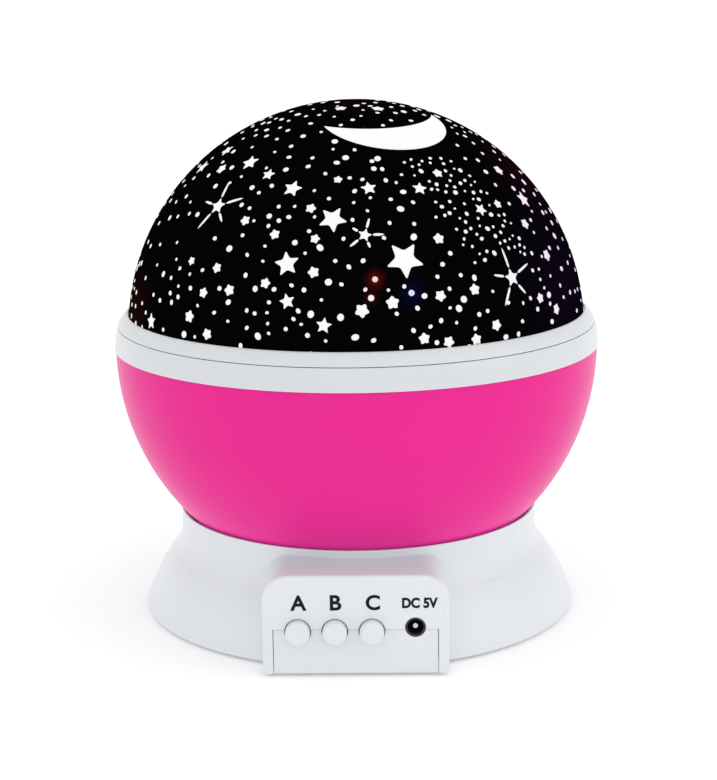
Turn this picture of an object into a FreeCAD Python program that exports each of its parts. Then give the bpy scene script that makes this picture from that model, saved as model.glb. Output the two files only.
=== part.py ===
import FreeCAD, Part

import math
import os

V = FreeCAD.Vector
UP = V(0, 0, 1)
BACK = V(0, 1, 0)

# Driving dimensions, in millimetres and degrees
foot_diameter = 9.0
foot_proud = 0.9
foot_recess = 0.6
foot_inset = 9.6
foot_count = 4

plate_thick = 2.0
plate_gap = 0.3
shell_wall = 2.0
base_radius = 57.7
skirt_height = 17.7
skirt_belly_depth = 1.4
neck_blend = 10.0
lip_height = 26.7
lip_land = 0.45
mouth_gap = 0.4

panel_proud = 3.8
panel_width = 45.4
panel_height = 24.8
panel_corner = 6.5
panel_edge_round = 1.0
panel_root_depth = 10.0
tongue_width = 40.0
tongue_height = 11.1
tongue_recess = 0.3
seam_gap = 0.15

button_diameter = 6.0
button_hole_gap = 0.25
button_proud = 2.4
button_pitch = 9.0
button_first_x = -14.05
button_height = 10.75
button_flange = 0.8
button_travel = 1.0
button_round = 0.9
button_names = ("a", "b", "c")
jack_x = 14.5
jack_height = 11.7
jack_nose_diameter = 4.8
jack_bore = 4.0
jack_bore_depth = 9.0
jack_pin_diameter = 1.2
jack_pin_back = 1.0
jack_body_size = 9.0

board_depth = 13.5
board_thick = 1.6
board_side_gap = 0.7
board_height = 14.0
board_rib = 1.2
board_rib_height = 4.0
switch_size = 6.0
switch_depth = 3.5
plunger_diameter = 3.4
plunger_reach = 1.5
plunger_sunk = 1.4
running_clearance = 0.08

cell_diameter = 10.5
cell_length = 44.5
cell_nub = 1.0
cell_nub_diameter = 3.6
cell_play = 0.15
cell_pitch = 11.0
cell_count = 4
spring_room = 5.0
spring_diameter = 6.4
contact_thick = 0.5
bay_centre_y = -7.0
bay_wall = 1.5
bay_roof = 1.4
bay_headroom = 0.35
bay_side_play = 0.55
door_thick = 1.6
door_lap = 1.0
door_gap = 0.3
door_play = 0.1
door_pin_diameter = 1.0
door_pin_length = 1.2
door_latch_width = 10.0
door_latch_reach = 1.2

lead_room = 2.1
lead_diameter = 1.2
battery_lead_offset = 16.0
battery_lead_spacing = 4.0
lead_turn_room = 6.0
chassis_thick = 2.0
chassis_rim_gap = 4.0
chassis_boss_inset = 9.0
chassis_boss_front = 22.0
chassis_boss_rear = 20.0
boss_diameter = 6.0
screw_diameter = 2.2
screw_head_diameter = 4.6
screw_head = 1.1
base_screw_length = 7.0
base_screw_inset = 4.7
base_screw_angles = (10.0, 90.0, 170.0, 240.0, 300.0)

post_diameter = 10.0
post_bore = 6.0
post_flange_diameter = 16.0
post_flange = 1.4
led_height = 0.7
led_table_diameter = 18.0
led_table = 1.5
led_board_diameter = 24.0
led_board_thick = 1.6
led_diameter = 5.0
led_body = 3.6
led_ring_radius = 6.0
clip_thick = 0.8
clip_diameter = 15.0
washer_thick = 0.9
washer_diameter = 18.0
thrust_gap = 0.1

gear_module = 1.0
ball_gear_teeth = 52
pinion_teeth = 12
gear_thick = 4.5
pinion_floor_gap = 0.3
gear_backlash = 0.24
gear_addendum = 0.8
gear_dedendum = 1.2
pressure_angle = 20.0
bush_diameter = 14.0
bush_flange_diameter = 18.0
bush_flange = 1.0
gear_screw_radius = 16.0
gear_screw_count = 3

gearbox_diameter = 22.0
gearbox_height = 6.0
gearbox_ear_width = 6.0
gearbox_ear_spread = 28.0
gearbox_ear_thick = 2.0
motor_diameter = 16.0
motor_height = 7.0
shaft_diameter = 3.0
shaft_seat = 3.0
shaft_window = 9.0
motor_screw_length = 3.2

bowl_radius = 63.6
bowl_wall = 2.0
bowl_floor_radius = 43.6
rim_above_centre = 0.6
rim_height = 5.7
rim_overhang = 0.35
rim_belly_inset = 0.2
rim_belly_height = 1.7
rim_shoulder_inset = 0.5
rim_shoulder_height = 3.7
rim_top_inset = 1.0
rim_ledge_thick = 2.0
rim_skirt_depth = 5.4
rim_skirt_wall = 1.8
rim_skirt_gap = 0.4
deck_thick = 1.5
deck_seat_depth = 4.6
deck_seat_width = 1.6
deck_gap = 0.2
deck_hole_radius = 14.0

dome_inset = 3.4
dome_wall = 1.6
dome_above_centre = 3.7
dome_seat_gap = 0.1
dome_tab_count = 4
dome_tab_angle = 12.0
dome_tab_thick = 1.2
dome_tab_drop = 2.8
dome_tab_rise = 2.2
dome_tab_gap = 0.18
light_wall = 1.0
light_gap = 0.15
collar_height = 3.1
collar_gap = 0.2
collar_foot_inset = 1.05
collar_belly_inset = 0.35
collar_belly_height = 0.8
collar_shoulder_inset = 1.1
collar_shoulder_height = 1.9
collar_top_width = 0.7
collar_edge = 0.25

# Windows in the dome: azimuth from the front towards +X, height angle, tip radius, turn
STAR_WINDOWS = (
    (13.5, 26.1, 4.7, 180.0),
    (-5.2, 36.3, 3.4, -28.0),
    (-16.3, 25.3, 3.0, 12.0),
    (-42.1, 51.5, 2.3, 20.0),
    (-19.2, 44.4, 2.3, -10.0),
    (-30.3, 48.2, 1.6, 0.0),
    (-71.0, 47.7, 2.1, 24.0),
    (5.6, 44.6, 1.8, 8.0),
    (22.2, 43.9, 1.7, -14.0),
    (40.4, 36.8, 1.6, 30.0),
    (62.9, 37.4, 2.3, -20.0),
    (-15.3, 16.7, 1.8, 16.0),
    (-6.4, 11.5, 1.8, -8.0),
    (-57.9, 7.9, 2.0, 10.0),
    (-64.8, 54.2, 1.8, -24.0),
    (120.0, 30.0, 4.5, 0.0),
    (150.0, 48.0, 3.0, 22.0),
    (178.0, 24.0, 3.6, -15.0),
    (-150.0, 38.0, 4.2, 30.0),
    (-120.0, 22.0, 3.0, 5.0),
    (-100.0, 44.0, 2.4, -12.0),
    (95.0, 50.0, 2.6, 18.0),
    (-175.0, 58.0, 2.2, 0.0),
)
star_waist = 0.42
star_points = 5
moon_azimuth = 20.2
moon_elevation = 61.7
moon_outer_radius = 15.8
moon_outer_centre = (1.6, 10.4)
moon_inner_radius = 18.9
moon_inner_centre = (-0.8, 22.6)

# Heights, from the floor up
plate_z = foot_proud
plate_top = plate_z + plate_thick
cell_z = plate_z + door_thick + cell_play + cell_diameter / 2
bay_roof_z = cell_z + cell_diameter / 2 + bay_headroom
bay_top = bay_roof_z + bay_roof
chassis_z = bay_top + lead_room
chassis_top = chassis_z + chassis_thick
gear_z = chassis_top + washer_thick + thrust_gap
bowl_floor_z = gear_z + gear_thick
ball_z = bowl_floor_z + math.sqrt(bowl_radius ** 2 - bowl_floor_radius ** 2)
rim_z = ball_z + rim_above_centre
rim_top = rim_z + rim_height
dome_z = ball_z + dome_above_centre
dome_seat_z = rim_top + dome_seat_gap
collar_z = rim_top + collar_gap
collar_top = collar_z + collar_height
lip_z = plate_z + lip_height
led_board_z = ball_z + led_height
led_table_z = led_board_z - led_table

# Plan sizes that follow from the above
dome_radius = bowl_radius - dome_inset
bay_half_x = (cell_length + cell_nub + spring_room) / 2 + contact_thick
bay_half_y = cell_pitch * cell_count / 2 + bay_side_play / 2
gear_distance = gear_module * (ball_gear_teeth + pinion_teeth) / 2
mouth_radius = bowl_radius + mouth_gap
neck_radius = math.sqrt(mouth_radius ** 2 - (ball_z - lip_z) ** 2) + lip_land
chassis_radius = neck_radius - shell_wall - chassis_rim_gap
button_z = plate_z + button_height
jack_z = plate_z + jack_height
panel_face = base_radius + panel_proud
panel_inside = panel_face - shell_wall
panel_back = neck_radius - panel_root_depth
board_face = panel_face - board_depth
board_width = panel_width - 2 * (shell_wall + board_side_gap)
chassis_boss_x = chassis_radius - chassis_boss_inset
tongue_top = plate_z + tongue_height


def cylinder(radius, low, high, x=0.0, y=0.0):
    """An upright cylinder between two heights."""
    return Part.makeCylinder(radius, high - low, V(x, y, low))


def tube(outer, inner, low, high, x=0.0, y=0.0):
    """An upright tube between two heights."""
    return cylinder(outer, low, high, x, y).cut(cylinder(inner, low - 1, high + 1, x, y))


def along_y(radius, front, back, x, z):
    """A cylinder that lies front to back."""
    return Part.makeCylinder(radius, back - front, V(x, front, z), BACK)


def box(x0, x1, y0, y1, z0, z1):
    """A box between two corners."""
    return Part.makeBox(x1 - x0, y1 - y0, z1 - z0, V(x0, y0, z0))


def join(first, *others):
    """One solid out of several that touch."""
    return first.multiFuse(list(others)).removeSplitter()


def polar(radius, degrees):
    """A plan position at a radius and an angle from +X."""
    turn = math.radians(degrees)
    return radius * math.cos(turn), radius * math.sin(turn)


def revolve(points):
    """A solid of revolution about Z from (radius, height) corners."""
    wire = Part.makePolygon([V(r, 0, z) for r, z in points + points[:1]])
    return Part.Face(wire).revolve(V(0, 0, 0), UP, 360)


def ball(radius, centre_z, low, high):
    """A sphere about the Z axis, kept between two heights."""
    slab = cylinder(radius + 5, low, high)
    return Part.makeSphere(radius, V(0, 0, centre_z)).common(slab)


def skirt(radius, neck, low, shoulder, high):
    """The flared base outline, revolved: a bulging skirt that runs into a straight neck in a soft curve."""
    foot = V(radius, 0, low)
    belly = V((radius + neck) / 2 + skirt_belly_depth, 0, (low + shoulder) / 2)
    top = V(neck, 0, shoulder)
    edges = [
        Part.makeLine(V(0, 0, low), foot),
        Part.Arc(foot, belly, top).toShape(),
        Part.makeLine(top, V(neck, 0, high)),
        Part.makeLine(V(neck, 0, high), V(0, 0, high)),
        Part.makeLine(V(0, 0, high), V(0, 0, low)),
    ]
    body = Part.Face(Part.Wire(edges)).revolve(V(0, 0, 0), UP, 360)
    crease = [e for e in body.Edges if abs(e.BoundBox.ZMin - shoulder) + abs(e.BoundBox.ZMax - shoulder) < 0.02]
    return body.makeFillet(neck_blend, crease)


def rounded_block(half_width, low, high, corner, front, back):
    """The panel block: its two upper corners are round, seen from the front."""
    bend = corner * (1 - math.sqrt(0.5))
    left, right = -half_width, half_width
    edges = [
        Part.makeLine(V(left, front, low), V(right, front, low)),
        Part.makeLine(V(right, front, low), V(right, front, high - corner)),
        Part.Arc(V(right, front, high - corner), V(right - bend, front, high - bend),
                 V(right - corner, front, high)).toShape(),
        Part.makeLine(V(right - corner, front, high), V(left + corner, front, high)),
        Part.Arc(V(left + corner, front, high), V(left + bend, front, high - bend),
                 V(left, front, high - corner)).toShape(),
        Part.makeLine(V(left, front, high - corner), V(left, front, low)),
    ]
    return Part.Face(Part.Wire(edges)).extrude(V(0, back - front, 0))


def lead(points, bend, radius):
    """A wire laid along straight runs with round bends between them."""
    spots = [V(*p) for p in points]
    start = spots[0]
    edges = []
    for before, corner, after in zip(spots, spots[1:], spots[2:]):
        inward = (corner - before).normalize()
        onward = (after - corner).normalize()
        turn = inward.getAngle(onward)
        trim = bend * math.tan(turn / 2)
        enter = corner - inward * trim
        leave = corner + onward * trim
        across = (onward - inward).normalize()
        middle = corner + across * bend * (1 / math.cos(turn / 2) - 1)
        edges.append(Part.makeLine(start, enter))
        edges.append(Part.Arc(enter, middle, leave).toShape())
        start = leave
    edges.append(Part.makeLine(start, spots[-1]))
    ring = Part.Wire(Part.makeCircle(radius, spots[0], (spots[1] - spots[0]).normalize()))
    return Part.Wire(edges).makePipeShell([ring], True, False)


def screws(spots, seat, length, downward):
    """Pan-head screws as separate solids, heads on the seat height."""
    way = -1 if downward else 1
    made = []
    for x, y in spots:
        shank = Part.makeCylinder(screw_diameter / 2, length, V(x, y, seat), V(0, 0, way))
        head = Part.makeCylinder(screw_head_diameter / 2, screw_head, V(x, y, seat), V(0, 0, -way))
        made.append(shank.fuse(head).removeSplitter())
    return Part.makeCompound(made)


def gear(teeth, low, high, x, y, turn, bore):
    """A spur gear with involute flanks; a tooth points along the turn angle."""
    pitch = gear_module * teeth / 2
    slope = math.radians(pressure_angle)
    base = pitch * math.cos(slope)
    tip = pitch + gear_module * gear_addendum
    root = pitch - gear_module * gear_dedendum
    start = max(base, root)
    half = math.pi / (2 * teeth) - gear_backlash / (2 * pitch) + math.tan(slope) - slope
    flank = []
    steps = 4
    for k in range(steps + 1):
        reach = start + (tip - start) * k / steps
        lean = math.acos(min(1.0, base / reach))
        flank.append((reach, half - math.tan(lean) + lean))
    if root < start:
        flank.insert(0, (root, flank[0][1]))
    corners = []
    for tooth in range(teeth):
        middle = math.radians(turn) + 2 * math.pi * tooth / teeth
        side = [(r, middle - a) for r, a in flank] + [(r, middle + a) for r, a in reversed(flank)]
        corners += [V(x + r * math.cos(a), y + r * math.sin(a), low) for r, a in side]
    face = Part.Face(Part.makePolygon(corners + corners[:1]))
    return face.extrude(V(0, 0, high - low)).cut(cylinder(bore, low - 1, high + 1, x, y))


def on_dome(shape, azimuth, elevation):
    """Carries a shape drawn about the Z axis to a direction seen from the dome's centre."""
    a = math.radians(azimuth)
    e = math.radians(elevation)
    out = V(math.sin(a) * math.cos(e), -math.cos(a) * math.cos(e), math.sin(e))
    east = V(math.cos(a), math.sin(a), 0)
    north = out.cross(east)
    shape.Placement = FreeCAD.Placement(FreeCAD.Matrix(
        east.x, north.x, out.x, 0,
        east.y, north.y, out.y, 0,
        east.z, north.z, out.z, dome_z,
        0, 0, 0, 1))
    return shape


def star_cutter(azimuth, elevation, radius, turn):
    """A prism with a five-point star section through the dome's wall."""
    corners = []
    for k in range(2 * star_points):
        reach = radius if k % 2 == 0 else radius * star_waist
        angle = math.radians(90 + turn) + math.pi * k / star_points
        corners.append(V(reach * math.cos(angle), reach * math.sin(angle), dome_radius - 2 * dome_wall - 1))
    face = Part.Face(Part.makePolygon(corners + corners[:1]))
    return on_dome(face.extrude(V(0, 0, 2 * dome_wall + 4)), azimuth, elevation)


def moon_cutter():
    """A crescent prism: one round less another."""
    low = dome_radius - 3 * dome_wall - 3
    tall = 3 * dome_wall + 6
    full = Part.makeCylinder(moon_outer_radius, tall, V(*moon_outer_centre, low))
    bite = Part.makeCylinder(moon_inner_radius, tall + 2, V(*moon_inner_centre, low - 1))
    return on_dome(full.cut(bite), moon_azimuth, moon_elevation)


def front_holes():
    """The round openings for the buttons and the power inlet, shared by both halves of the front."""
    radius = button_diameter / 2 + button_hole_gap
    depth = panel_face - shell_wall - plate_thick
    holes = [along_y(radius, -panel_face - 1, -depth, x, button_z) for x in button_places()]
    nose = jack_nose_diameter / 2 + seam_gap
    holes.append(along_y(nose, -panel_face - 1, -depth, jack_x, jack_z))
    return holes


def button_places():
    return [button_first_x + button_pitch * k for k in range(len(button_names))]


def base_screw_places():
    return [polar(base_radius - shell_wall - base_screw_inset, a) for a in base_screw_angles]


def chassis_places():
    return [(sx * chassis_boss_x, y) for sx in (-1, 1) for y in (-chassis_boss_front, chassis_boss_rear)]


def foot_places():
    return [polar(base_radius - foot_inset, 45 + 360 / foot_count * k) for k in range(foot_count)]


def cell_places():
    return [bay_centre_y + cell_pitch * (k - (cell_count - 1) / 2) for k in range(cell_count)]


def motor_screw_places():
    half = gearbox_ear_spread / 2
    return [(-half, gear_distance), (half, gear_distance)]


def base_shell():
    outer = skirt(base_radius, neck_radius, plate_z, plate_z + skirt_height, lip_z)
    block = rounded_block(panel_width / 2, plate_z, plate_z + panel_height, panel_corner,
                          -panel_face, -panel_back)
    front = [e for e in block.Edges if all(abs(v.Y + panel_face) < 0.01 for v in e.Vertexes)]
    upper = [e for e in front if e.BoundBox.ZMax > plate_z + 0.01]
    block = block.makeFillet(panel_edge_round, upper)
    bosses = []
    for x, y in base_screw_places():
        bosses.append(cylinder(boss_diameter / 2, plate_top, lip_z, x, y).common(outer.fuse(block)))
    hollow = skirt(base_radius - shell_wall, neck_radius - shell_wall, plate_z - 0.01,
                   plate_z + skirt_height - shell_wall / 2, lip_z + 1)
    inside = rounded_block(panel_width / 2 - shell_wall, plate_z - 1, plate_z + panel_height - shell_wall,
                           panel_corner - shell_wall, -panel_inside, -panel_back + 1)
    mouth = Part.makeSphere(mouth_radius, V(0, 0, ball_z))
    shell = outer.fuse(block).cut([hollow, inside, mouth])
    shell = join(shell, *bosses)
    notch = box(-tongue_width / 2 - seam_gap, tongue_width / 2 + seam_gap,
                -panel_face - 1, -panel_inside + 0.5, plate_z - 1, tongue_top + seam_gap)
    pilots = [cylinder(screw_diameter / 2, plate_top - 1, base_screw_top(), x, y)
              for x, y in base_screw_places()]
    return shell.cut([notch, mouth] + pilots + front_holes())


def base_screw_seat():
    return plate_z + screw_head + plate_gap / 3


def base_screw_top():
    return base_screw_seat() + base_screw_length


def door_outline(grow, low, high):
    return box(-bay_half_x - door_lap - grow, bay_half_x + door_lap + grow,
               bay_centre_y - bay_half_y - door_lap - grow, bay_centre_y + bay_half_y + door_lap + grow,
               low, high)


def door_axis():
    """Plan position and height of the door's hinge line."""
    return bay_centre_y + bay_half_y + door_lap - door_thick / 2, plate_z + door_thick / 2


def bottom_plate():
    trim = shell_wall + plate_gap
    disc = skirt(base_radius - trim, neck_radius - trim, plate_z - 0.01,
                 plate_z + skirt_height - shell_wall / 2, lip_z)
    disc = disc.common(cylinder(base_radius, plate_z, plate_top))
    sill = box(-tongue_width / 2, tongue_width / 2, -panel_inside + plate_gap, -panel_back, plate_z, plate_top)
    face_y = -panel_face + tongue_recess
    tongue = box(-tongue_width / 2, tongue_width / 2, face_y, face_y + plate_thick, plate_z, tongue_top)
    root = box(-tongue_width / 2, tongue_width / 2, face_y, -panel_inside + 2, plate_z, plate_top)
    bay = box(-bay_half_x - bay_wall, bay_half_x + bay_wall,
              bay_centre_y - bay_half_y - bay_wall, bay_centre_y + bay_half_y + bay_wall, plate_z, bay_top)
    bosses = [cylinder(boss_diameter / 2, plate_z, chassis_z, x, y) for x, y in chassis_places()]
    ribs = []
    slot = seam_gap / 2
    for side in (-1, 1):
        x = side * (board_width / 2 - board_rib / 2)
        for near, far in ((-board_face - board_rib - slot, -board_face - slot),
                          (-board_face + board_thick + slot, -board_face + board_thick + board_rib + slot)):
            ribs.append(box(x - board_rib / 2, x + board_rib / 2, near, far, plate_z,
                            plate_top + board_rib_height))
    plate = join(disc, sill, tongue, root, bay, *bosses, *ribs)
    cavity = box(-bay_half_x, bay_half_x, bay_centre_y - bay_half_y, bay_centre_y + bay_half_y,
                 plate_z - 1, bay_roof_z)
    hatch = door_outline(door_gap, plate_z - 1, plate_z + door_thick + door_play)
    cuts = [cavity, hatch]
    axis_y, axis_z = door_axis()
    reach = bay_half_x + door_lap + door_pin_length + door_gap
    cuts.append(Part.makeCylinder(door_pin_diameter / 2 + running_clearance, 2 * reach,
                                  V(-reach, axis_y, axis_z), V(1, 0, 0)))
    latch_y = bay_centre_y - bay_half_y - door_lap - door_gap
    cuts.append(box(-door_latch_width / 2 - door_gap, door_latch_width / 2 + door_gap,
                    latch_y - door_latch_reach - door_gap, latch_y + 1, plate_z - 1,
                    plate_z + door_thick + door_play))
    for x, y in foot_places():
        cuts.append(cylinder(foot_diameter / 2, plate_z - 1, plate_z + foot_recess, x, y))
    for x, y in base_screw_places():
        cuts.append(cylinder(screw_head_diameter / 2 + plate_gap, plate_z - 1, base_screw_seat(), x, y))
        cuts.append(cylinder(screw_diameter / 2 + running_clearance, plate_z, plate_top + 1, x, y))
    for x, y in chassis_places():
        cuts.append(cylinder(screw_diameter / 2, chassis_top - base_screw_length, chassis_z + 1, x, y))
    return plate.cut(cuts + front_holes())


def rubber_feet():
    return Part.makeCompound([cylinder(foot_diameter / 2, 0, plate_z + foot_recess, x, y)
                              for x, y in foot_places()])


def battery_door():
    low, high = plate_z, plate_z + door_thick
    panel = door_outline(0, low, high)
    axis_y, axis_z = door_axis()
    half = bay_half_x + door_lap
    back = panel.BoundBox.YMax
    panel = panel.cut(box(-half - 1, half + 1, axis_y, back + 1, low - 1, high + 1))
    knuckle = Part.makeCylinder(door_thick / 2, 2 * half, V(-half, axis_y, axis_z), V(1, 0, 0))
    reach = half + door_pin_length
    pins = Part.makeCylinder(door_pin_diameter / 2, 2 * reach, V(-reach, axis_y, axis_z), V(1, 0, 0))
    front = bay_centre_y - bay_half_y - door_lap
    latch = box(-door_latch_width / 2, door_latch_width / 2, front - door_latch_reach, front + 1, low, high)
    return join(panel, knuckle, pins, latch)


def battery_cells():
    cells = []
    for k, y in enumerate(cell_places()):
        flip = 1 if k % 2 == 0 else -1
        start = flip * (bay_half_x - contact_thick - cell_nub)
        can = Part.makeCylinder(cell_diameter / 2, cell_length, V(start, y, cell_z), V(-flip, 0, 0))
        nub = Part.makeCylinder(cell_nub_diameter / 2, cell_nub, V(start, y, cell_z), V(flip, 0, 0))
        cells.append(can.fuse(nub).removeSplitter())
    return cells


def battery_springs():
    springs = []
    for k, y in enumerate(cell_places()):
        flip = 1 if k % 2 == 0 else -1
        start = -flip * (bay_half_x - contact_thick)
        springs.append(Part.makeCylinder(spring_diameter / 2, spring_room, V(start, y, cell_z), V(flip, 0, 0)))
    return Part.makeCompound(springs)


def contact_plates():
    plates = []
    half_y = cell_pitch * cell_count / 2
    half_z = cell_diameter / 2 - cell_play
    for x in (-bay_half_x, bay_half_x - contact_thick):
        plates.append(box(x, x + contact_thick, bay_centre_y - half_y, bay_centre_y + half_y,
                          cell_z - half_z, cell_z + half_z))
    return Part.makeCompound(plates)


def chassis_plate():
    plate = cylinder(chassis_radius, chassis_z, chassis_top)
    cuts = [cylinder(post_diameter / 2, chassis_z - 1, chassis_top + 1),
            cylinder(shaft_window / 2, chassis_z - 1, chassis_top + 1, 0, gear_distance)]
    for x, y in chassis_places() + motor_screw_places():
        cuts.append(cylinder(screw_diameter / 2, chassis_z - 1, chassis_top + 1, x, y))
    return plate.cut(cuts)


def led_post():
    flange = cylinder(post_flange_diameter / 2, chassis_z - post_flange, chassis_z)
    stem = cylinder(post_diameter / 2, chassis_z - post_flange, led_table_z)
    table = cylinder(led_table_diameter / 2, led_table_z, led_board_z)
    post = join(flange, stem, table)
    slot = lead_diameter / 2 + running_clearance
    exit_slot = box(-slot, slot, -post_flange_diameter, 0, chassis_z - post_flange - 1, chassis_z)
    bore = cylinder(post_bore / 2, chassis_z - post_flange - 1, led_board_z + 1)
    return post.cut([bore, exit_slot])


def leds():
    top = led_board_z + led_board_thick
    made = []
    for k in range(4):
        x, y = polar(led_ring_radius, 45 + 90 * k)
        body = cylinder(led_diameter / 2, top, top + led_body, x, y)
        cap = Part.makeSphere(led_diameter / 2, V(x, y, top + led_body))
        made.append(body.fuse(cap).removeSplitter())
    return made


def led_lead():
    bend = post_bore / 2 + lead_diameter
    low = (bay_top + chassis_z) / 2
    return lead([(0, 0, led_board_z), (0, 0, low), (0, -board_face + board_thick, low)],
                bend, lead_diameter / 2)


def motor_lead():
    x = bay_half_x + bay_wall + lead_diameter
    z = plate_top + 2 * lead_diameter
    end_x = board_width / 2 - 3 * board_rib
    back = -board_face + board_thick
    front = bay_centre_y - bay_half_y - bay_wall
    return lead([(motor_diameter / 2, gear_distance, z), (x, gear_distance - lead_turn_room, z), (x, front, z),
                 (end_x, front - lead_turn_room, z), (end_x, back, z)], 2 * lead_diameter, lead_diameter / 2)


def battery_leads():
    bay_front = bay_centre_y - bay_half_y - bay_wall
    z = plate_top + 2 * lead_diameter
    return Part.makeCompound([along_y(lead_diameter / 2, -board_face + board_thick, bay_front, x, z)
                              for x in (-battery_lead_offset, battery_lead_spacing - battery_lead_offset)])


def gearbox():
    low = chassis_z - gearbox_height
    body = cylinder(gearbox_diameter / 2, low, chassis_z, 0, gear_distance)
    half = gearbox_ear_spread / 2
    ears = box(-half, half, gear_distance - gearbox_ear_width / 2, gear_distance + gearbox_ear_width / 2,
               chassis_z - gearbox_ear_thick, chassis_z)
    ends = [cylinder(gearbox_ear_width / 2, chassis_z - gearbox_ear_thick, chassis_z, x, y)
            for x, y in motor_screw_places()]
    bore = cylinder(shaft_diameter / 2 + running_clearance, chassis_z - shaft_seat, chassis_z + 1,
                    0, gear_distance)
    holes = [cylinder(screw_diameter / 2, chassis_z - gearbox_ear_thick - 1, chassis_z + 1, x, y)
             for x, y in motor_screw_places()]
    return join(body, ears, *ends).cut([bore] + holes)


def control_board():
    return box(-board_width / 2, board_width / 2, -board_face, -board_face + board_thick,
               plate_top, plate_top + board_height)


def plunger(x):
    front = -board_face - switch_depth - plunger_reach
    return along_y(plunger_diameter / 2, front, front + plunger_reach + plunger_sunk, x, button_z)


def switch_bodies():
    half = switch_size / 2
    made = []
    for x in button_places():
        body = box(x - half, x + half, -board_face - switch_depth, -board_face, button_z - half, button_z + half)
        well = along_y(plunger_diameter / 2 + running_clearance, -board_face - switch_depth - 1,
                       -board_face - switch_depth + plunger_sunk + button_travel + 0.1, x, button_z)
        made.append(body.cut(well))
    return Part.makeCompound(made)


def button(x):
    flange_front = -panel_inside + seam_gap + plate_thick - shell_wall + tongue_recess
    cap = along_y(button_diameter / 2, -panel_face - button_proud, flange_front + button_flange, x, button_z)
    cap_edge = [e for e in cap.Edges if abs(e.BoundBox.YMax + panel_face + button_proud) < 0.01]
    cap = cap.makeFillet(button_round, cap_edge)
    flange = along_y(button_diameter / 2 + 3 * button_hole_gap, flange_front, flange_front + button_flange,
                     x, button_z)
    stem = along_y(plunger_diameter / 2, flange_front, -board_face - switch_depth - plunger_reach, x, button_z)
    return join(cap, flange, stem)


def dc_jack_body():
    half = jack_body_size / 2
    front = -panel_inside + tongue_recess + seam_gap
    body = box(jack_x - half, jack_x + half, front, -board_face, jack_z - half, jack_z + half)
    nose = along_y(jack_nose_diameter / 2, -panel_face + tongue_recess, front + 1, jack_x, jack_z)
    bore = along_y(jack_bore / 2, -panel_face - 1, -panel_face + tongue_recess + jack_bore_depth, jack_x, jack_z)
    return join(body, nose).cut(bore)


def dc_jack_pin():
    return along_y(jack_pin_diameter / 2, -panel_face + tongue_recess + jack_pin_back,
                   -panel_face + tongue_recess + jack_bore_depth, jack_x, jack_z)


def bowl():
    outside = ball(bowl_radius, ball_z, bowl_floor_z, rim_z)
    inside = ball(bowl_radius - bowl_wall, ball_z, bowl_floor_z + bowl_wall, rim_z + 1)
    holes = [cylinder(bush_diameter / 2, bowl_floor_z - 1, bowl_floor_z + bowl_wall + 1)]
    for x, y in gear_screw_places():
        holes.append(cylinder(screw_diameter / 2, bowl_floor_z - 1, bowl_floor_z + bowl_wall + 1, x, y))
    return outside.cut([inside] + holes)


def gear_screw_places():
    return [polar(gear_screw_radius, 90 + 360 / gear_screw_count * k) for k in range(gear_screw_count)]


def ball_gear():
    wheel = gear(ball_gear_teeth, gear_z, bowl_floor_z, 0, 0, 0, bush_diameter / 2)
    cuts = []
    for x, y in gear_screw_places():
        cuts.append(cylinder(screw_head_diameter / 2 + seam_gap, gear_z - 1, gear_screw_seat(), x, y))
        cuts.append(cylinder(screw_diameter / 2, gear_z, bowl_floor_z + 1, x, y))
    return wheel.cut(cuts)


def gear_screw_seat():
    return gear_z + screw_head + plate_gap


def hub_bush():
    sleeve = cylinder(bush_diameter / 2, gear_z, bowl_floor_z + bowl_wall)
    flange = cylinder(bush_flange_diameter / 2, bowl_floor_z + bowl_wall, bowl_floor_z + bowl_wall + bush_flange)
    bore = cylinder(post_diameter / 2 + running_clearance, gear_z - 1, bowl_floor_z + bowl_wall + bush_flange + 1)
    return join(sleeve, flange).cut(bore)


def post_clip():
    low = bowl_floor_z + bowl_wall + bush_flange + thrust_gap
    return tube(clip_diameter / 2, post_diameter / 2, low, low + clip_thick)


def rim_ring():
    outer = bowl_radius + rim_overhang
    inner = deck_radius() + deck_gap
    skirt_out = bowl_radius - bowl_wall - rim_skirt_gap
    skirt_in = skirt_out - rim_skirt_wall
    seat = rim_top - deck_seat_depth
    ledge = inner - deck_seat_width
    return revolve([
        (inner, rim_top), (inner, seat), (ledge, seat), (ledge, seat - rim_ledge_thick),
        (skirt_in, seat - rim_ledge_thick), (skirt_in, rim_z - rim_skirt_depth),
        (skirt_out, rim_z - rim_skirt_depth), (skirt_out, rim_z), (outer, rim_z),
        (outer - rim_belly_inset, rim_z + rim_belly_height),
        (outer - rim_shoulder_inset, rim_z + rim_shoulder_height), (outer - rim_top_inset, rim_top),
    ])


def deck_radius():
    return dome_radius - dome_wall - deck_gap


def reflector_deck():
    seat = rim_top - deck_seat_depth
    return tube(deck_radius(), deck_hole_radius, seat, seat + deck_thick)


def dome_tabs():
    outer = deck_radius() + deck_gap - dome_tab_gap
    tabs = []
    for k in range(dome_tab_count):
        low = dome_seat_z - dome_tab_drop
        high = dome_seat_z + dome_tab_rise
        ring = tube(outer, outer - dome_tab_thick, low, high)
        foot = tube(outer + dome_wall / 2, outer - dome_tab_thick, dome_seat_z + dome_tab_thick / 3, high)
        wedge = Part.makeCylinder(dome_radius, high - low, V(0, 0, low), UP, dome_tab_angle)
        wedge.rotate(V(0, 0, 0), UP, 45 + 360 / dome_tab_count * k - dome_tab_angle / 2)
        tabs.append(ring.fuse(foot).common(wedge))
    return tabs


def star_dome():
    outside = ball(dome_radius, dome_z, dome_seat_z, dome_z + dome_radius + 1)
    inside = Part.makeSphere(dome_radius - dome_wall, V(0, 0, dome_z))
    windows = [star_cutter(*star) for star in STAR_WINDOWS]
    shell = outside.cut(inside)
    return join(shell, *dome_tabs()).cut(windows + [moon_cutter()])


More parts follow.
